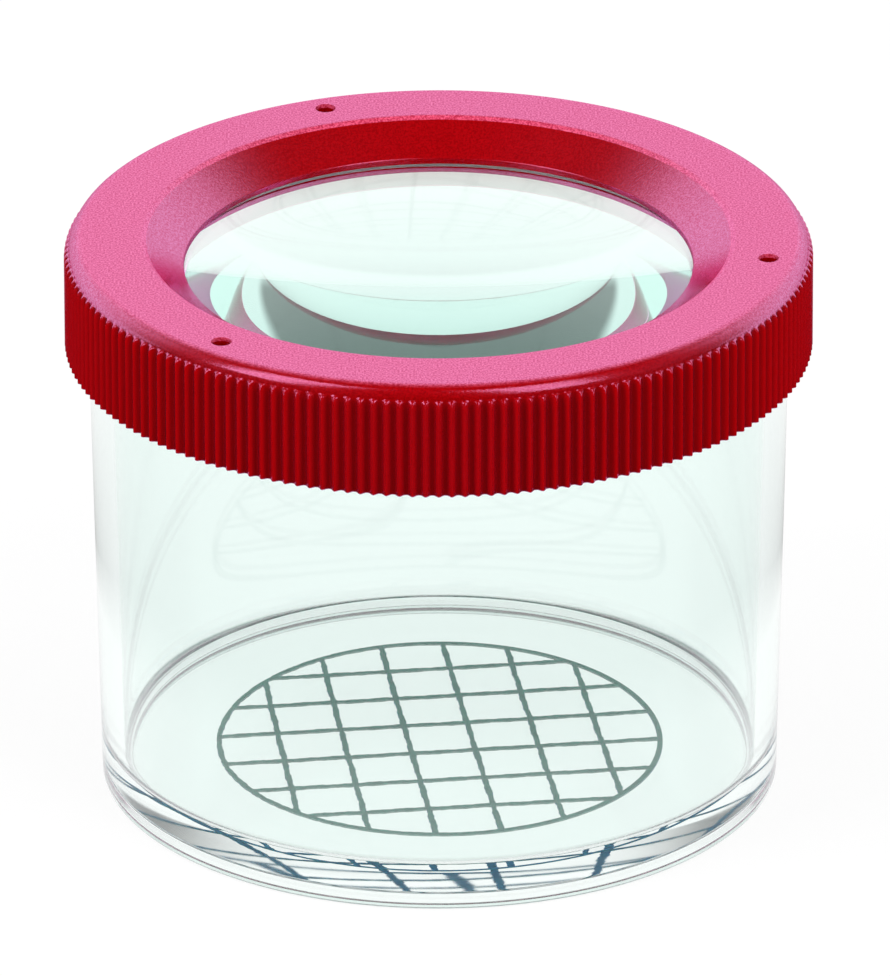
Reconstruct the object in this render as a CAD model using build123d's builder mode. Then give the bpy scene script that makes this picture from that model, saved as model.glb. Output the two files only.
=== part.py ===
from build123d import *

import os
from math import asin, degrees, sqrt

# Bug catcher jar, in millimetres. +Z is up, and the origin is the centre of the foot, on the table.
# A clear tapered jar has a measuring grid under its floor. A red push-on lid holds a magnifying lens.

# Jar
jar_bottom_radius = 26.4
jar_wall = 1.75
floor_underside = 0.85
floor_thickness = 2.45
floor_fillet = 0.7
foot_ring_width = 2.0
foot_fillet = 0.3
rim_fillet = 0.2

# Lid
lid_top = 45.3
lid_height = 9.0
lid_roof = 2.0
lid_edge_round = 1.5
skirt_wall = 1.17
rib_count = 180
rib_height = 0.38
lid_jar_clearance = 0.15
lid_seat_clearance = 0.1
funnel_width = 3.25
funnel_depth = 2.55
funnel_fillet = 0.35

# Air holes through the lid, over the chamfered rim of the jar
vent_count = 3
vent_radius = 0.8
vent_offset = 0.3
vent_first_angle = -10
vent_rim_margin = 0.1

# Lens and its seat under the funnel
lens_radius = 20.8
lens_edge = 3.1
lens_curve_radius = 75.0
lens_clearance = 0.1
lip_overlap = 1.05
lip_thickness = 0.2
collar_wall = 1.6
collar_below_lens = 1.0
collar_mouth_gap = 3.1
bead_height = 0.35

# Measuring grid
grid_square = 5.0
grid_line_count = 6
grid_line_width = 0.42
grid_ink = 0.15
grid_turn = 7.5

# Heights that follow from the sizes above
floor_top = floor_underside + floor_thickness
roof_underside = lid_top - lid_roof
jar_height = roof_underside - lid_seat_clearance
skirt_bottom = lid_top - lid_height
funnel_bottom = lid_top - funnel_depth
lip_underside = funnel_bottom - lip_thickness

# Radii from the lens outwards: its seat, the funnel, the mouth of the jar and the air holes over the rim
aperture_radius = lens_radius - lip_overlap
funnel_top_radius = aperture_radius + funnel_width
collar_inner_radius = lens_radius + lens_clearance
collar_outer_radius = collar_inner_radius + collar_wall
mouth_radius = collar_outer_radius + collar_mouth_gap
rim_radius = mouth_radius + jar_wall
vent_ring_radius = mouth_radius + vent_offset
rim_inner_radius = vent_ring_radius + vent_radius + vent_rim_margin
chamfer_bottom = jar_height - (rim_inner_radius - mouth_radius)
foot_inner_radius = jar_bottom_radius - foot_ring_width
grid_radius = (grid_line_count + 1) * grid_square / 2

# Place of the lens: its upper dome just clears the inner edge of the lip
lens_centre_drop = sqrt(lens_curve_radius**2 - lens_radius**2)
lens_rise_to_lip = sqrt(lens_curve_radius**2 - aperture_radius**2) - lens_centre_drop
lens_edge_top = lip_underside - lens_clearance - lens_rise_to_lip
lens_edge_bottom = lens_edge_top - lens_edge
lens_sagitta = lens_curve_radius - lens_centre_drop
lens_half_angle = degrees(asin(lens_radius / lens_curve_radius))
bead_top = lens_edge_bottom - lens_clearance
collar_bottom = bead_top - collar_below_lens


def wall_radius(height):
    """Outer radius of the jar's wall, which tapers from the rim to the foot."""
    return jar_bottom_radius + (rim_radius - jar_bottom_radius) * height / jar_height


def circles_at(part, height):
    """The circular edges of a turned part that lie flat at one height, smallest first."""
    flat = part.edges().filter_by(GeomType.CIRCLE).filter_by_position(Axis.Z, height, height)
    return flat.sort_by(SortBy.RADIUS)


# Skirt of the lid: it slides over the widest part of the jar that it covers
skirt_inner_radius = max(rim_radius, wall_radius(skirt_bottom)) + lid_jar_clearance
rib_peak_radius = skirt_inner_radius + skirt_wall + rib_height
rib_half_pitch = 180 / rib_count

# Jar: one moulding of even wall, turned from its half section
with BuildPart() as jar_body:
    with BuildSketch(Plane.XZ):
        with BuildLine():
            Polyline(
                (0, floor_underside),
                (foot_inner_radius, floor_underside),
                (foot_inner_radius, 0),
                (jar_bottom_radius, 0),
                (rim_radius, jar_height),
                (rim_inner_radius, jar_height),
                (wall_radius(chamfer_bottom) - jar_wall, chamfer_bottom),
                (wall_radius(floor_top) - jar_wall, floor_top),
                (0, floor_top),
                close=True,
            )
        make_face()
    revolve(axis=Axis.Z)
    fillet(circles_at(jar_body, floor_top), floor_fillet)
    fillet(circles_at(jar_body, 0)[-1], foot_fillet)
    fillet(circles_at(jar_body, jar_height)[-1], rim_fillet)
jar_body.part.label = "jar_body"

# Measuring grid: a ring and two sets of lines, printed on the underside of the floor
grid_plane = Plane.XY.offset(floor_underside - grid_ink).rotated((0, 0, grid_turn))
with BuildPart() as measuring_grid:
    with BuildSketch(grid_plane):
        with GridLocations(grid_square, grid_square, grid_line_count, 1):
            Rectangle(grid_line_width, 2 * grid_radius)
        with GridLocations(grid_square, grid_square, 1, grid_line_count):
            Rectangle(2 * grid_radius, grid_line_width)
        Circle(grid_radius, mode=Mode.INTERSECT)
    extrude(amount=grid_ink)
    with BuildSketch(grid_plane):
        Circle(grid_radius)
        Circle(grid_radius - grid_line_width, mode=Mode.SUBTRACT)
    extrude(amount=grid_ink)
measuring_grid.part.label = "measuring_grid"

# Lid: turned from its half section, then fluted, so that the ribs run out in the rounded edge
with BuildPart() as lid_ring:
    with BuildSketch(Plane.XZ):
        with BuildLine():
            Polyline(
                (skirt_inner_radius, skirt_bottom),
                (rib_peak_radius, skirt_bottom),
                (rib_peak_radius, lid_top),
                (funnel_top_radius, lid_top),
                (aperture_radius, funnel_bottom),
                (aperture_radius, lip_underside),
                (collar_inner_radius, lens_edge_top + lens_clearance),
                (collar_inner_radius, bead_top),
                (collar_inner_radius - bead_height, bead_top - bead_height),
                (collar_inner_radius, collar_bottom),
                (collar_outer_radius, collar_bottom),
                (collar_outer_radius, roof_underside),
                (skirt_inner_radius, roof_underside),
                close=True,
            )
        make_face()
    revolve(axis=Axis.Z)
    fillet(circles_at(lid_ring, lid_top)[-1], lid_edge_round)
    fillet(circles_at(lid_ring, lid_top)[0], funnel_fillet)
    with BuildSketch(Plane.XY.offset(skirt_bottom)):
        with PolarLocations(rib_peak_radius, rib_count, start_angle=rib_half_pitch):
            Circle(rib_height)
    extrude(amount=lid_height, mode=Mode.SUBTRACT)
    with BuildSketch(Plane.XY.offset(lid_top)):
        with PolarLocations(vent_ring_radius, vent_count, start_angle=vent_first_angle):
            Circle(vent_radius)
    extrude(amount=-lid_height, mode=Mode.SUBTRACT)
lid_ring.part.label = "lid_ring"

# Lens: two equal domes with a straight edge between them
with BuildPart() as lens:
    with BuildSketch(Plane.XZ):
        with BuildLine():
            CenterArc(
                (0, lens_edge_top + lens_sagitta - lens_curve_radius),
                lens_curve_radius,
                90 - lens_half_angle,
                lens_half_angle,
            )
            CenterArc(
                (0, lens_edge_bottom - lens_sagitta + lens_curve_radius),
                lens_curve_radius,
                -90,
                lens_half_angle,
            )
            Line((lens_radius, lens_edge_bottom), (lens_radius, lens_edge_top))
            Line((0, lens_edge_bottom - lens_sagitta), (0, lens_edge_top + lens_sagitta))
        make_face()
    revolve(axis=Axis.Z)
lens.part.label = "lens"

os.makedirs("parts", exist_ok=True)
export_step(jar_body.part, "parts/jar_body.step")
export_step(measuring_grid.part, "parts/measuring_grid.step")
export_step(lid_ring.part, "parts/lid_ring.step")
export_step(lens.part, "parts/lens.step")
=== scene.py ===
import math

import bmesh
import bpy
import numpy as np
from mathutils import Matrix, Vector


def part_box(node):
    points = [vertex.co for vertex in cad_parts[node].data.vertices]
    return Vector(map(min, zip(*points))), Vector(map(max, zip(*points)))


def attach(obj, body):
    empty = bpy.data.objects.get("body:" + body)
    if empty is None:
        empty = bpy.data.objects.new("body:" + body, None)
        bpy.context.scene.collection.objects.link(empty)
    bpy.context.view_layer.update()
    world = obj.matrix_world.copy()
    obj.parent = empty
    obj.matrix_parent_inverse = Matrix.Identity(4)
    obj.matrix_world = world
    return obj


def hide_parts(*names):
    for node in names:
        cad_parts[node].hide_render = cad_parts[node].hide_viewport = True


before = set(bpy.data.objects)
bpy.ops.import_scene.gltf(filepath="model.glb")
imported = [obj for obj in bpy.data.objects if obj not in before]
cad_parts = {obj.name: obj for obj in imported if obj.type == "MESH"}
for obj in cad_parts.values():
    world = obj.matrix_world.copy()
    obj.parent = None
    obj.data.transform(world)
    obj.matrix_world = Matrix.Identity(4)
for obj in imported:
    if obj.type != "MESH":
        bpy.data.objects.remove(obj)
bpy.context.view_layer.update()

# Bug catcher jar: a clear tapered jar with a measuring grid under its floor, and a red ribbed lid
# that holds a magnifying lens. Lengths below are in millimetres and meshes are in metres.
MM = 0.001
upwards = (0, 0, 1 / MM)
backwards = (0, 1 / MM, 0)


def node_corners(name):
    """A node's lowest and highest corners in millimetres."""
    low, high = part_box(name)
    return np.array(low) / MM, np.array(high) / MM


jar_high = node_corners("jar_body")[1]
lid_low, lid_high = node_corners("lid_ring")
lens_low, lens_high = node_corners("lens")
grid_low, grid_high = node_corners("measuring_grid")

# Lens and its seat in the lid
lens_radius = lens_high[0]
lens_edge = 3.1
lens_sagitta = (lens_high[2] - lens_low[2] - lens_edge) / 2
lens_curve_radius = (lens_radius**2 + lens_sagitta**2) / (2 * lens_sagitta)
lens_edge_top = lens_high[2] - lens_sagitta
lens_edge_bottom = lens_low[2] + lens_sagitta
lens_rows = 49
lens_columns = 384
lens_clearance = 0.1
collar_wall = 1.6
collar_inner_radius = lens_radius + lens_clearance
collar_outer_radius = collar_inner_radius + collar_wall
collar_bottom = lens_low[2]
bead_top = lens_edge_bottom - lens_clearance
bead_height = 0.35

# Jar
jar_height = jar_high[2]
jar_bottom_radius = 26.4
jar_wall = 1.75
jar_columns = 512
collar_mouth_gap = 3.1
mouth_radius = collar_outer_radius + collar_mouth_gap
rim_radius = mouth_radius + jar_wall
floor_underside = grid_high[2]
floor_top = 3.3
floor_fillet = 0.7
foot_inner_radius = 24.4
foot_fillet = 0.3
rim_fillet = 0.2
moulded_edge = 0.12

# Lid
lid_top = lid_high[2]
skirt_bottom = lid_low[2]
rib_height = 0.38
rib_count = 180
rib_columns = 8
rib_top = lid_top - 1.05
rib_shoulder = 0.6
rib_shoulder_rows = 7
lid_jar_clearance = 0.15
lid_seat_clearance = 0.1
valley_radius = lid_high[0] - rib_height
skirt_inner_radius = rim_radius + lid_jar_clearance
roof_underside = jar_height + lid_seat_clearance
lid_edge_round = 1.12
flat_top_radius = valley_radius - lid_edge_round
lip_overlap = 1.05
funnel_width = 3.25
aperture_radius = lens_radius - lip_overlap
funnel_top_radius = aperture_radius + funnel_width
funnel_bottom = lid_top - 2.3
funnel_fillet = 0.35
lip_underside = lid_top - 2.75

# Air holes in the lid, over the chamfered rim of the jar
vent_count = 3
vent_radius = 0.8
vent_offset = 0.3
vent_rim_margin = 0.1
vent_first_angle = -10
vent_columns = 48
drill_overshoot = 1.0
vent_ring_radius = mouth_radius + vent_offset
rim_inner_radius = vent_ring_radius + vent_radius + vent_rim_margin
chamfer_bottom = jar_height - (rim_inner_radius - mouth_radius)

# Measuring grid: the ink sinks a little into the floor, and its crossing layers lie a little apart
grid_radius = grid_high[0]
grid_line_count = 6
grid_spacing = 2 * grid_radius / (grid_line_count + 1)
grid_line_width = 0.42
grid_ink = grid_high[2] - grid_low[2]
grid_turn = 7.5
grid_sink = 0.02
grid_layer_step = 0.004
grid_line_rows = 160
grid_ring_rows = 900
ring_seeds = (501, 502)

# Wander of an inked edge: wavelengths along the line and amounts across it
ink_wander = ((6.0, 0.03), (2.1, 0.03), (0.9, 0.025), (0.45, 0.02))

# Meshing: steps of arcs in degrees, place of the support points on a run, sharp edges and merging
small_arc_radius = 0.3
small_arc_step = 15
large_arc_step = 6
support_share = 0.02
sharp_angle = 35
merge_distance = 0.0005

# Jar finish: slightly dull on the outer face of the foot and in the corner of the floor
flow_wave_size = 9.0
flow_wave_depth = 0.1
flow_wave_strength = 0.02
foot_roughness = 0.06
foot_height = (floor_top, floor_top - 0.4)
foot_face = (jar_bottom_radius - 0.5, jar_bottom_radius - 0.3)
corner_roughness = 0.25
corner_low = (floor_top, floor_top + 0.05)
corner_high = (floor_top + floor_fillet + 0.1, floor_top + floor_fillet)
corner_face = (jar_bottom_radius - 0.8, jar_bottom_radius - 1)

# Lens finish: a frosted rim, and a green that grows with depth
rim_roughness = 0.6
frosted_rim = (lens_radius - 0.02, lens_radius - 0.01)
lens_density = 10

# Lid finish: a matt grain on the flat top, drawn coarser than the real one so that it shows, and a pink
# painted sheen there; painted shade in the valleys of the grip and painted light on its crests.
# Pairs of levels are for the glossy and the matt parts.
grain_size = 0.15
grain_contrast = (0.38, 0.62)
grain_depth = 0.05
grain_strength = (0.2, 0.6)
matt_inner = (funnel_top_radius - 0.38, funnel_top_radius - 0.32)
matt_outer = (flat_top_radius + 0.6, flat_top_radius + 0.2)
matt_height = (lid_top - 0.34, lid_top - 0.3)
# Radii over which the grip goes from painted shade in its valleys to painted light on its crests
painted_crest_light_radii = (valley_radius + 0.02, valley_radius + 0.3)
grip_height = (rib_top + 0.1, rib_top - rib_shoulder)
grip_face = (valley_radius - 0.4, valley_radius - 0.2)
sheen_roughness = (0.16, 0.4)
sheen_angles = (0.05, 0.6)
sheen_shares = (0.1, 0.58)

# Ink finish
ink_blotch_size = 0.8

# Camera: a long lens, fitted to the circles of the lid, jar and grid in the 890 x 976 frame
image_height = 976
focal_pixels = 20000
sensor_height = 36.0
camera_distance = 1558.8
camera_elevation = 24.92
camera_roll = -0.12
camera_target = (0.465, 0, 23.67)
camera_reach = 10000

# Backdrop: white up to about 28 degrees, where the dim ceiling begins, which hangs lower at the sides
# and reaches forward to about over the jar. Edges are in terms of the direction's own axes.
backdrop_edge = (0.45, 0.52)
ceiling_dip = 0.15
ceiling_front = (0.15, 0.35)
ceiling_level = 0.25

# Fill light at the horizon and straight above, and more of it from the sides
fill_levels = (0.05, 0.3)
side_level = 2.6

# Mirror images: the front of the studio, the zenith and the front of the floor are dark
dark_level = 0.01
bright_behind = (-0.1, 0.5)
dark_zenith = (0.55, 0.85)
paper_level = 0.9
paper_edge = (10, 70)
paper_patch = (45, 60)

# Floor: its size, the gap that keeps it off the foot, and its glow for the camera and through clear plastic
floor_reach = 3000.0
floor_gap = 0.02
floor_glow = (0.89, 0.99)

# Softboxes
softbox_size = (280, 560)
softbox_power = 2.2
left_softbox = (-441, -276, 509)
right_softbox = (313, -416, 509)

# Light is mirrored inside the clear wall, floor and lens many times before it leaves them
path_bounces = 96


# Outlines and surfaces


def support_points(start, stop, shares=(support_share, 1 - support_share)):
    """Points on a straight run, close to its ends, that keep its shading straight."""
    share = np.array(shares, float).reshape(-1, 1)
    return np.asarray(start) * (1 - share) + np.asarray(stop) * share


def arc_between(before, corner, after, radius):
    """The arc of a radius that touches both sides of a corner, from the first side to the second."""
    step = small_arc_step if radius < small_arc_radius else large_arc_step
    to_before = np.subtract(before, corner)
    to_after = np.subtract(after, corner)
    to_before = to_before / np.linalg.norm(to_before)
    to_after = to_after / np.linalg.norm(to_after)
    half = math.acos(np.clip(to_before @ to_after, -1, 1)) / 2
    middle = to_before + to_after
    middle = middle / np.linalg.norm(middle)
    centre = corner + middle * radius / math.sin(half)
    sweep = math.pi - 2 * half
    turn = np.linspace(-sweep / 2, sweep / 2, max(3, math.ceil(math.degrees(sweep) / step) + 1))
    side = np.array([-middle[1], middle[0]])
    if side @ to_before < 0:
        side = -side
    return centre - radius * (np.cos(turn)[:, None] * middle + np.sin(turn)[:, None] * side)


def rounded_outline(corners, closed):
    """Points of an outline with arcs, from corners (radius from the axis, height, rounding)."""
    places = [np.array(corner[:2], float) for corner in corners]
    count = len(corners)
    arcs = []
    for index, (place, corner) in enumerate(zip(places, corners)):
        inside = closed or 0 < index < count - 1
        if corner[2] > 0 and inside:
            arcs.append(arc_between(places[index - 1], place, places[(index + 1) % count], corner[2]))
        else:
            arcs.append(place[None])
    runs = []
    for index in range(count):
        runs.append(arcs[index])
        if closed or index < count - 1:
            following = arcs[(index + 1) % count]
            shares = [support_share] * (len(arcs[index]) > 1) + [1 - support_share] * (len(following) > 1)
            runs.append(support_points(arcs[index][-1], following[0], shares))
    return np.concatenate(runs)


def turned(outline, angles):
    """Grid of points: an outline of (radius, height) carried round Z through the given angles."""
    radius, height = outline[:, :1], outline[:, 1:]
    x = radius * np.cos(angles)
    y = radius * np.sin(angles)
    return np.stack([x, y, np.broadcast_to(height, x.shape)], axis=-1)


def full_circle(count):
    """Angles evenly round a circle."""
    return np.arange(count) * 2 * math.pi / count


def grid_faces(rows, columns, close_rows, close_columns):
    """Quads over a grid of points, joined end to end where it closes."""
    row = np.arange(rows if close_rows else rows - 1)[:, None]
    column = np.arange(columns if close_columns else columns - 1)[None]
    next_row = (row + 1) % rows
    next_column = (column + 1) % columns
    quads = [row * columns + column, row * columns + next_column,
             next_row * columns + next_column, next_row * columns + column]
    return np.stack(np.broadcast_arrays(*quads), axis=-1).reshape(-1, 4)


def shade(mesh):
    """Smooth shading, with sharp edges where faces meet at more than the sharp angle."""
    mesh.shade_smooth()
    mesh.set_sharp_from_angle(angle=math.radians(sharp_angle))


def make_piece(name, grids):
    """A mesh object from grids (points, close rows, close columns), faces outwards and poles closed."""
    places, faces, offset = [], [], 0
    for points, close_rows, close_columns in grids:
        rows, columns = points.shape[:2]
        faces.append(grid_faces(rows, columns, close_rows, close_columns) + offset)
        places.append(points.reshape(-1, 3) * MM)
        offset += rows * columns
    mesh = bpy.data.meshes.new(name)
    mesh.from_pydata(np.concatenate(places).tolist(), [], np.concatenate(faces).tolist())
    shell = bmesh.new()
    shell.from_mesh(mesh)
    bmesh.ops.remove_doubles(shell, verts=shell.verts, dist=merge_distance * MM)
    bmesh.ops.recalc_face_normals(shell, faces=shell.faces)
    shell.to_mesh(mesh)
    shell.free()
    shade(mesh)
    piece = bpy.data.objects.new(name, mesh)
    bpy.context.scene.collection.objects.link(piece)
    return piece


# Pieces


def wall_radius(height):
    """Outer radius of the jar's wall, which tapers from the rim to the foot."""
    return jar_bottom_radius + (rim_radius - jar_bottom_radius) * height / jar_height


def make_jar():
    """The jar's half section turned about Z: floor, foot ring, tapered wall and chamfered rim."""
    corners = [
        (0, floor_underside, 0),
        (foot_inner_radius, floor_underside, moulded_edge),
        (foot_inner_radius, 0, moulded_edge),
        (jar_bottom_radius, 0, foot_fillet),
        (rim_radius, jar_height, rim_fillet),
        (rim_inner_radius, jar_height, moulded_edge),
        (wall_radius(chamfer_bottom) - jar_wall, chamfer_bottom, moulded_edge),
        (wall_radius(floor_top) - jar_wall, floor_top, floor_fillet),
        (0, floor_top, 0),
    ]
    outline = rounded_outline(corners, closed=False)
    return make_piece("clear_jar", [(turned(outline, full_circle(jar_columns)), False, True)])


def make_lens():
    """Two equal domes, z = edge +- (sqrt(R^2 - r^2) - sqrt(R^2 - rim^2)), with a straight edge between."""
    radius = np.linspace(0, lens_radius, lens_rows)
    rise = np.sqrt(lens_curve_radius**2 - radius**2) - math.sqrt(lens_curve_radius**2 - lens_radius**2)
    upper = np.stack([radius, lens_edge_top + rise], axis=1)[::-1]
    lower = np.stack([radius, lens_edge_bottom - rise], axis=1)
    edge = support_points(lower[-1], upper[0])
    outline = np.concatenate([lower, edge, upper])
    return make_piece("magnifying_lens", [(turned(outline, full_circle(lens_columns)), False, True)])


def rib_relief(angles, heights):
    """Ribs of the grip: |cos(a)|^3 across each rib, times a quarter ellipse that rounds its upper end."""
    across = np.abs(np.cos(angles * rib_count / 2)) ** 3
    from_full = np.clip(1 - (rib_top - heights) / rib_shoulder, 0, 1)
    return rib_height * across[None] * np.sqrt(1 - from_full**2)[:, None]


def drill_air_holes(lid):
    """Cuts round holes through the lid's flat top, evenly spaced on a circle."""
    low, high = roof_underside - drill_overshoot, lid_top + drill_overshoot
    drill = np.array([(0, low), (vent_radius, low), (vent_radius, high), (0, high)])
    cutters = []
    for index in range(vent_count):
        angle = math.radians(vent_first_angle + index * 360 / vent_count)
        hole = turned(drill, full_circle(vent_columns))
        hole[..., :2] += vent_ring_radius * np.array([math.cos(angle), math.sin(angle)])
        cutters.append((hole, False, True))
    drills = make_piece("air_hole_drills", cutters)
    cut = lid.modifiers.new("air_holes", "BOOLEAN")
    cut.operation = "DIFFERENCE"
    cut.solver = "EXACT"
    cut.object = drills
    depsgraph = bpy.context.evaluated_depsgraph_get()
    drilled = bpy.data.meshes.new_from_object(lid.evaluated_get(depsgraph))
    lid.modifiers.clear()
    lid.data = drilled
    bpy.data.objects.remove(drills)
    shade(drilled)


def make_lid():
    """The lid's half section turned about Z, with ribs raised on its skirt and the air holes cut through."""
    shoulder_turns = np.linspace(math.pi / 2, 0, rib_shoulder_rows)
    shoulder_heights = rib_top - rib_shoulder * (1 - np.cos(shoulder_turns))
    corners = [
        (skirt_inner_radius, skirt_bottom, moulded_edge),
        (valley_radius, skirt_bottom, moulded_edge),
        *[(valley_radius, height, 0) for height in shoulder_heights],
        (valley_radius, lid_top, lid_edge_round),
        (funnel_top_radius, lid_top, funnel_fillet),
        (aperture_radius, funnel_bottom, moulded_edge),
        (aperture_radius, lip_underside, 0),
        (collar_inner_radius, lens_edge_top + lens_clearance, 0),
        (collar_inner_radius, bead_top, 0),
        (collar_inner_radius - bead_height, bead_top - bead_height, 0),
        (collar_inner_radius, bead_top - 2 * bead_height, 0),
        (collar_inner_radius, collar_bottom, 0),
        (collar_outer_radius, collar_bottom, 0),
        (collar_outer_radius, roof_underside, 0),
        (skirt_inner_radius, roof_underside, 0),
    ]
    outline = rounded_outline(corners, closed=True)
    angles = full_circle(rib_count * rib_columns)
    points = turned(outline, angles)
    radius = outline[:, :1]
    # The ribs take in the rounding at the bottom of the skirt, and a hair more
    on_skirt = radius > valley_radius - 1.01 * moulded_edge
    ribbed = radius + on_skirt * rib_relief(angles, outline[:, 1])
    points[..., :2] *= (ribbed / radius)[..., None]
    lid = make_piece("ribbed_lid", [(points, True, True)])
    drill_air_holes(lid)
    return lid


def ragged(length, seed):
    """Wander of an inked edge along its length: a few sines of fixed random phase, in millimetres."""
    draw = np.random.default_rng(seed)
    wander = np.zeros_like(length)
    for wavelength, amount in ink_wander:
        wander += amount * np.sin(2 * math.pi * length / wavelength + draw.uniform(0, 2 * math.pi))
    return wander


def ink_line(left, right, top):
    """A flat bar of ink between two edge lines: its rectangular section carried along them."""
    low = top - grid_ink
    edges = [(left, top), (right, top), (right, low), (left, low)]
    section = [np.column_stack([edge, np.full(len(edge), height)]) for edge, height in edges]
    return np.stack(section, axis=1)


def capped(bar):
    """A bar with both its ends drawn together to a point in the end's middle."""
    first = bar[:1].mean(1, keepdims=True).repeat(bar.shape[1], 1)
    last = bar[-1:].mean(1, keepdims=True).repeat(bar.shape[1], 1)
    return np.concatenate([first, bar, last])


def make_grid():
    """Measuring grid: a ring and two sets of straight lines, with edges that wander as printed ink does."""
    turn = math.radians(grid_turn)
    rotation = np.array([[math.cos(turn), math.sin(turn)], [-math.sin(turn), math.cos(turn)]])
    top = grid_high[2] + grid_sink
    half = grid_line_width / 2
    bars = []
    offsets = (np.arange(grid_line_count) - (grid_line_count - 1) / 2) * grid_spacing
    for family in range(2):
        for index, offset in enumerate(offsets):
            reach = math.sqrt((grid_radius - half) ** 2 - offset**2)
            along = np.linspace(-reach, reach, grid_line_rows)
            seed = 100 * family + 10 * index
            left = np.column_stack([offset - half + ragged(along, seed), along])
            right = np.column_stack([offset + half + ragged(along, seed + 1), along])
            if family:
                left, right = left[:, ::-1], right[:, ::-1]
            bar = ink_line(left @ rotation, right @ rotation, top - grid_layer_step * family)
            bars.append((capped(bar), False, True))
    around = full_circle(grid_ring_rows)
    length = around * grid_radius
    # The wander dies out where the ring closes
    closing = np.sin(around / 2) ** 2
    outer = grid_radius - np.abs(ragged(length, ring_seeds[0])) * closing
    inner = grid_radius - grid_line_width + ragged(length, ring_seeds[1]) * closing
    spoke = np.column_stack([np.cos(around), np.sin(around)])
    ring = ink_line(outer[:, None] * spoke, inner[:, None] * spoke, top - 2 * grid_layer_step)
    bars.append((ring, True, True))
    return make_piece("measuring_grid_ink", bars)


# Materials


def linear(hex_colour):
    """An sRGB hex colour as linear RGBA."""
    values = np.array([int(hex_colour[i:i + 2], 16) for i in (0, 2, 4)]) / 255
    values = np.where(values <= 0.04045, values / 12.92, ((values + 0.055) / 1.055) ** 2.4)
    return (*values.tolist(), 1.0)


def add_node(tree, kind, inputs=(), output=0, **settings):
    """Adds a node with its settings and returns one of its outputs, if it has any.
    Inputs go by name or in order, and each is a value or another node's output to link.
    A Mix of two colours takes sockets 0, 6 and 7 and gives output 2."""
    made = tree.nodes.new(kind)
    for name, value in settings.items():
        setattr(made, name, value)
    for key, value in inputs.items() if isinstance(inputs, dict) else enumerate(inputs):
        if isinstance(value, bpy.types.NodeSocket):
            tree.links.new(value, made.inputs[key])
        else:
            made.inputs[key].default_value = value
    return made.outputs[output] if made.outputs else None


def new_material(name):
    """An empty node material and its tree."""
    material = bpy.data.materials.new(name)
    material.use_nodes = True
    material.node_tree.nodes.clear()
    return material, material.node_tree


def axis_distance(tree, place):
    """Distance of a surface point from the Z axis, in millimetres."""
    level = add_node(tree, "ShaderNodeVectorMath", (place, (1 / MM, 1 / MM, 0)), operation="MULTIPLY")
    return add_node(tree, "ShaderNodeVectorMath", (level,), "Value", operation="LENGTH")


def zone(tree, full_level, *bounds):
    """Full level where every measure is past its range (start, stop), and 0 where any is short of it."""
    level = full_level
    for measure, (start, stop) in bounds:
        reached = add_node(tree, "ShaderNodeMapRange", (measure, start, stop, 0, 1))
        level = add_node(tree, "ShaderNodeMath", (level, reached), operation="MULTIPLY")
    return level


def clear_polystyrene():
    """Clear moulded polystyrene: polished and faintly green, with a trace of flow waves.
    It is slightly dull on the foot and in the corner of the floor, which softens the lines seen there."""
    material, tree = new_material("clear_polystyrene")
    place = add_node(tree, "ShaderNodeTexCoord", output="Object")
    height = add_node(tree, "ShaderNodeVectorMath", (place, upwards), "Value", operation="DOT_PRODUCT")
    distance = axis_distance(tree, place)
    foot = zone(tree, foot_roughness, (height, foot_height), (distance, foot_face))
    corner = zone(
        tree, corner_roughness, (height, corner_low), (height, corner_high), (distance, corner_face))
    waves = add_node(tree, "ShaderNodeTexNoise", {
        "Vector": place, "Scale": 1 / (flow_wave_size * MM), "Detail": 1.0})
    shader = add_node(tree, "ShaderNodeBsdfPrincipled", {
        "Base Color": linear("F5FCFA"),
        "Roughness": add_node(tree, "ShaderNodeMath", (foot, corner), operation="MAXIMUM"),
        "IOR": 1.59,
        "Transmission Weight": 1.0,
        "Normal": add_node(tree, "ShaderNodeBump", {
            "Height": waves, "Strength": flow_wave_strength, "Distance": flow_wave_depth * MM}),
    })
    add_node(tree, "ShaderNodeOutputMaterial", {"Surface": shader})
    return material


def clear_acrylic():
    """Clear moulded acrylic: polished, with a frosted rim, and greener the further light goes through it."""
    material, tree = new_material("clear_acrylic")
    distance = axis_distance(tree, add_node(tree, "ShaderNodeTexCoord", output="Object"))
    shader = add_node(tree, "ShaderNodeBsdfPrincipled", {
        "Base Color": linear("FDFFFE"),
        "Roughness": zone(tree, rim_roughness, (distance, frosted_rim)),
        "IOR": 1.49,
        "Transmission Weight": 1.0,
    })
    depth = add_node(tree, "ShaderNodeVolumeAbsorption", {
        "Color": linear("50EBD4"), "Density": lens_density})
    add_node(tree, "ShaderNodeOutputMaterial", {"Surface": shader, "Volume": depth})
    return material


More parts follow.
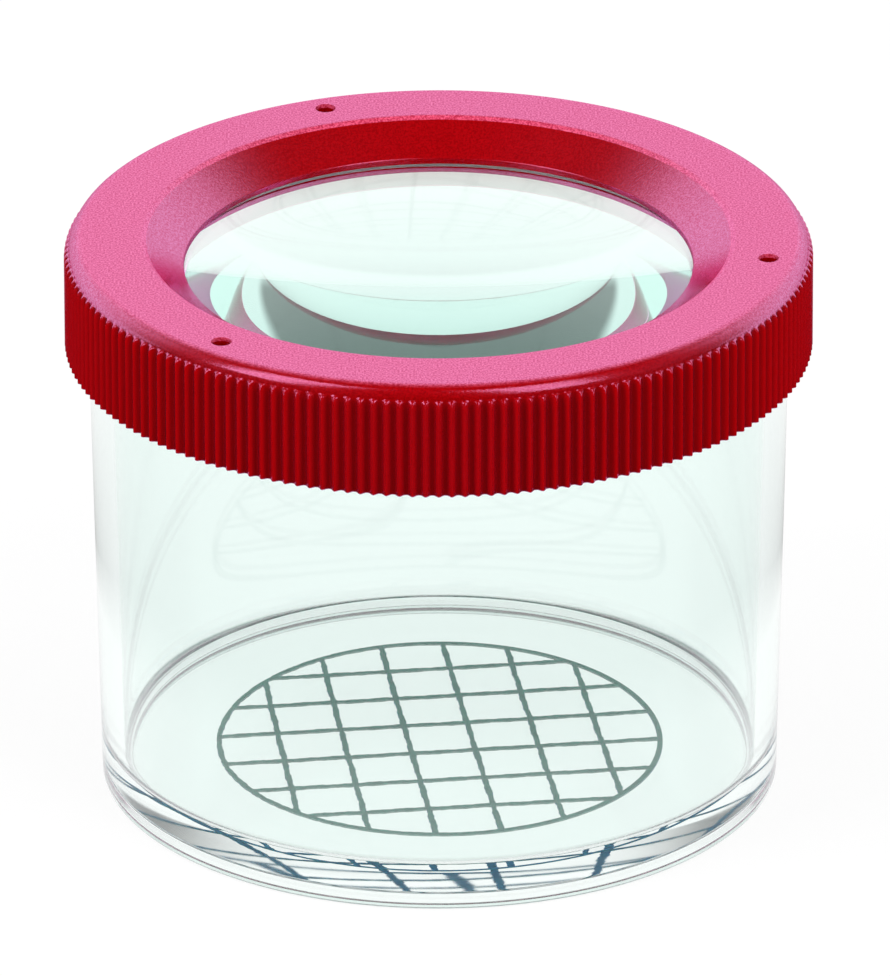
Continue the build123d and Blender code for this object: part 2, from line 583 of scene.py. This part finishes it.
def red_moulded_plastic():
    """Deep red moulded plastic: glossy, with a matt grain on its top and a pink sheen at a low angle. Its
    top is also painted pink as sheen, and its grip has painted shade in the valleys and painted light on the
    crests.
    """
    material, tree = new_material("red_moulded_plastic")
    place = add_node(tree, "ShaderNodeTexCoord", output="Object")
    height = add_node(tree, "ShaderNodeVectorMath", (place, upwards), "Value", operation="DOT_PRODUCT")
    distance = axis_distance(tree, place)
    matt = zone(tree, 1, (distance, matt_inner), (distance, matt_outer), (height, matt_height))
    # Painted light on the rib crests and painted shade in their valleys, by distance from the axis, on the
    # grip only
    crest_painted_light = zone(tree, 1, (distance, painted_crest_light_radii))
    grip = zone(tree, 1, (height, grip_height), (distance, grip_face))
    grain = add_node(tree, "ShaderNodeTexNoise", {
        "Vector": place, "Scale": 1 / (grain_size * MM), "Detail": 2.0})
    speck = add_node(tree, "ShaderNodeMapRange", (grain, *grain_contrast, 0, 1))
    # Colours: painted shade in the rib valleys and painted light on the crests; random grain tone on the
    # smooth parts; a pink painted sheen with grain on the matt top; and grain in the colour of the glossy
    # sheen
    ribbed, smooth, grainy_painted_sheen, sheen_colour = [
        add_node(tree, "ShaderNodeMix", {0: factor, 6: linear(dark), 7: linear(light)}, 2, data_type="RGBA")
        for factor, dark, light in (
            (crest_painted_light, "8E0001", "BE0002"),
            (speck, "8C0001", "A60002"),
            (speck, "B00E2E", "EC5070"),
            (speck, "EE84BE", "FCB2EE"))]
    # On the grip, the ribs' painted shade and painted light take the place of the plain grain tone
    moulded = add_node(tree, "ShaderNodeMix", {0: grip, 6: smooth, 7: ribbed}, 2, data_type="RGBA")
    bump = add_node(tree, "ShaderNodeBump", {
        "Height": grain,
        "Strength": add_node(tree, "ShaderNodeMapRange", (matt, 0, 1, *grain_strength)),
        "Distance": grain_depth * MM,
    })
    # Base colour: the pink painted sheen on the matt top, and elsewhere grain tone with the grip's painted
    # shade and light
    body = add_node(tree, "ShaderNodeBsdfPrincipled", {
        "Base Color": add_node(tree, "ShaderNodeMix", {0: matt, 6: moulded, 7: grainy_painted_sheen}, 2, data_type="RGBA"),
        "Roughness": 0.5,
        "IOR": 1.5,
        "Specular IOR Level": 0.0,
        "Normal": bump,
    })
    sheen = add_node(tree, "ShaderNodeBsdfGlossy", {
        "Color": sheen_colour,
        "Roughness": add_node(tree, "ShaderNodeMapRange", (matt, 0, 1, *sheen_roughness)),
        "Normal": bump,
    })
    facing = add_node(tree, "ShaderNodeLayerWeight", {"Blend": 0.5, "Normal": bump}, "Facing")
    share = add_node(
        tree, "ShaderNodeMapRange", (facing, *sheen_angles, *sheen_shares), interpolation_type="SMOOTHSTEP")
    surface = add_node(tree, "ShaderNodeMixShader", (share, body, sheen))
    add_node(tree, "ShaderNodeOutputMaterial", {"Surface": surface})
    return material


def dark_grid_ink():
    """Dark blue-green ink: matt, a little uneven, with a blue sheen at a low angle."""
    material, tree = new_material("dark_grid_ink")
    place = add_node(tree, "ShaderNodeTexCoord", output="Object")
    blotch = add_node(tree, "ShaderNodeTexNoise", {
        "Vector": place, "Scale": 1 / (ink_blotch_size * MM), "Detail": 3.0})
    tones = {0: blotch, 6: linear("007A6C"), 7: linear("04B496")}
    shader = add_node(tree, "ShaderNodeBsdfPrincipled", {
        "Base Color": add_node(tree, "ShaderNodeMix", tones, 2, data_type="RGBA"),
        "Roughness": 0.7,
        "Sheen Weight": 1.0,
        "Sheen Roughness": 0.45,
        "Sheen Tint": linear("1E78FF"),
    })
    add_node(tree, "ShaderNodeOutputMaterial", {"Surface": shader})
    return material


def by_ray(tree, lit, mirrored, seen):
    """One shader for diffuse light, one for mirror images, and one for the camera and clear plastic."""
    glossy, camera, through = [
        add_node(tree, "ShaderNodeLightPath", output=ray)
        for ray in ("Is Glossy Ray", "Is Camera Ray", "Is Transmission Ray")]
    either = add_node(tree, "ShaderNodeMixShader", (glossy, lit, mirrored))
    direct = add_node(tree, "ShaderNodeMath", (camera, through), operation="MAXIMUM")
    return add_node(tree, "ShaderNodeMixShader", (direct, either, seen))


def white_studio_floor():
    """White paper floor: glows white where it is seen and keeps part of the object's shadow."""
    material, tree = new_material("white_studio_floor")
    place = add_node(tree, "ShaderNodeTexCoord", output="Object")
    lit = add_node(tree, "ShaderNodeBsdfDiffuse", {"Color": linear("6C6C6C")})
    shaded = add_node(tree, "ShaderNodeBsdfDiffuse", {"Color": linear("595959")})
    through = add_node(tree, "ShaderNodeLightPath", output="Is Transmission Ray")
    level = add_node(tree, "ShaderNodeMapRange", (through, 0, 1, *floor_glow))
    glow = add_node(tree, "ShaderNodeEmission", {"Color": linear("FFFFFF"), "Strength": level})
    seen = add_node(tree, "ShaderNodeAddShader", (shaded, glow))
    depth = add_node(tree, "ShaderNodeVectorMath", (place, backwards), "Value", operation="DOT_PRODUCT")
    distance = axis_distance(tree, place)
    far = add_node(tree, "ShaderNodeMapRange", (depth, *paper_edge, dark_level, paper_level))
    near = add_node(tree, "ShaderNodeMapRange", (distance, *paper_patch, paper_level, dark_level))
    mirrored = add_node(tree, "ShaderNodeEmission", {
        "Color": linear("FFFFFF"),
        "Strength": add_node(tree, "ShaderNodeMath", (far, near), operation="MAXIMUM"),
    })
    add_node(tree, "ShaderNodeOutputMaterial", {"Surface": by_ray(tree, lit, mirrored, seen)})
    return material


# Studio


def make_floor():
    """A large flat floor under the jar."""
    side = np.array([-floor_reach, floor_reach])
    points = np.stack(np.meshgrid(side, side, [-floor_gap], indexing="ij"), axis=-1)[:, :, 0]
    floor = make_piece("studio_floor", [(points, False, False)])
    floor.data.materials.append(white_studio_floor())


def make_world():
    """A white backdrop under a dim ceiling, a dark front, and fill light from above and the sides."""
    world = bpy.data.worlds.new("studio_sky")
    world.use_nodes = True
    tree = world.node_tree
    tree.nodes.clear()
    towards = add_node(tree, "ShaderNodeTexCoord", output="Generated")
    x, y, z = [add_node(tree, "ShaderNodeSeparateXYZ", (towards,), axis) for axis in "XYZ"]
    squared = add_node(tree, "ShaderNodeMath", (x, x), operation="MULTIPLY")
    overhead = add_node(tree, "ShaderNodeMapRange", (z, 0, 1, *fill_levels))
    fill = add_node(tree, "ShaderNodeMath", (squared, side_level, overhead), operation="MULTIPLY_ADD")
    raised = add_node(tree, "ShaderNodeMath", (squared, ceiling_dip, z), operation="MULTIPLY_ADD")
    below_zenith, bright_back, above, behind = [
        add_node(tree, "ShaderNodeMapRange", inputs, interpolation_type="SMOOTHSTEP") for inputs in (
            (z, *dark_zenith, 1, dark_level),
            (y, *bright_behind, dark_level, 1),
            (raised, *backdrop_edge, 0, 1),
            (y, *ceiling_front, 0, 1 - ceiling_level))]
    mirror = add_node(tree, "ShaderNodeMath", (below_zenith, bright_back), operation="MULTIPLY")
    ceiling = add_node(tree, "ShaderNodeMath", (above, behind), operation="MULTIPLY")
    backdrop = add_node(tree, "ShaderNodeMath", (1, ceiling), operation="SUBTRACT")
    camera_ray = add_node(tree, "ShaderNodeLightPath", output="Is Camera Ray")
    view = add_node(tree, "ShaderNodeMath", (backdrop, camera_ray), operation="MAXIMUM")
    lit, mirrored, seen = [
        add_node(tree, "ShaderNodeBackground", {"Color": linear("FFFFFF"), "Strength": level})
        for level in (fill, mirror, view)]
    add_node(tree, "ShaderNodeOutputWorld", {"Surface": by_ray(tree, lit, mirrored, seen)})
    bpy.context.scene.world = world


def add_softbox(name, place):
    """A tall soft light at a place, aimed at the object. It doesn't show through clear plastic."""
    lamp = bpy.data.lights.new(name, "AREA")
    lamp.shape = "RECTANGLE"
    lamp.size = softbox_size[0] * MM
    lamp.size_y = softbox_size[1] * MM
    lamp.energy = softbox_power
    box = bpy.data.objects.new(name, lamp)
    box.location = Vector(place) * MM
    box.rotation_euler = (Vector(camera_target) - Vector(place)).to_track_quat("-Z", "Y").to_euler()
    box.visible_transmission = False
    bpy.context.scene.collection.objects.link(box)


def make_camera():
    """The photograph's camera: long lens, about 25 degrees above the table."""
    data = bpy.data.cameras.new("photo_camera")
    data.sensor_fit = "VERTICAL"
    data.sensor_height = sensor_height
    data.lens = focal_pixels * sensor_height / image_height
    data.clip_end = camera_reach * MM
    camera = bpy.data.objects.new("photo_camera", data)
    elevation = math.radians(camera_elevation)
    roll = math.radians(camera_roll)
    back = Vector((0, -math.cos(elevation), math.sin(elevation)))
    level_right = Vector((1, 0, 0))
    level_up = back.cross(level_right)
    right = level_right * math.cos(roll) + level_up * math.sin(roll)
    up = level_up * math.cos(roll) - level_right * math.sin(roll)
    matrix = Matrix((right, up, back)).transposed().to_4x4()
    matrix.translation = (Vector(camera_target) + back * camera_distance) * MM
    camera.matrix_world = matrix
    bpy.context.scene.collection.objects.link(camera)
    bpy.context.scene.camera = camera


def dress(piece, material, body, node):
    """Gives a piece its material, lets it ride on a body and stand for a node."""
    piece.data.materials.clear()
    piece.data.materials.append(material)
    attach(piece, body)
    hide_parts(node)


dress(make_jar(), clear_polystyrene(), "jar", "jar_body")
dress(make_grid(), dark_grid_ink(), "jar", "measuring_grid")
dress(make_lens(), clear_acrylic(), "lens", "lens")
dress(make_lid(), red_moulded_plastic(), "lid", "lid_ring")

make_floor()
make_world()
add_softbox("left_softbox", left_softbox)
add_softbox("right_softbox", right_softbox)
make_camera()

light_paths = bpy.context.scene.cycles
light_paths.max_bounces = path_bounces
light_paths.glossy_bounces = path_bounces
light_paths.transmission_bounces = path_bounces

bpy.context.scene.view_settings.view_transform = "Standard"
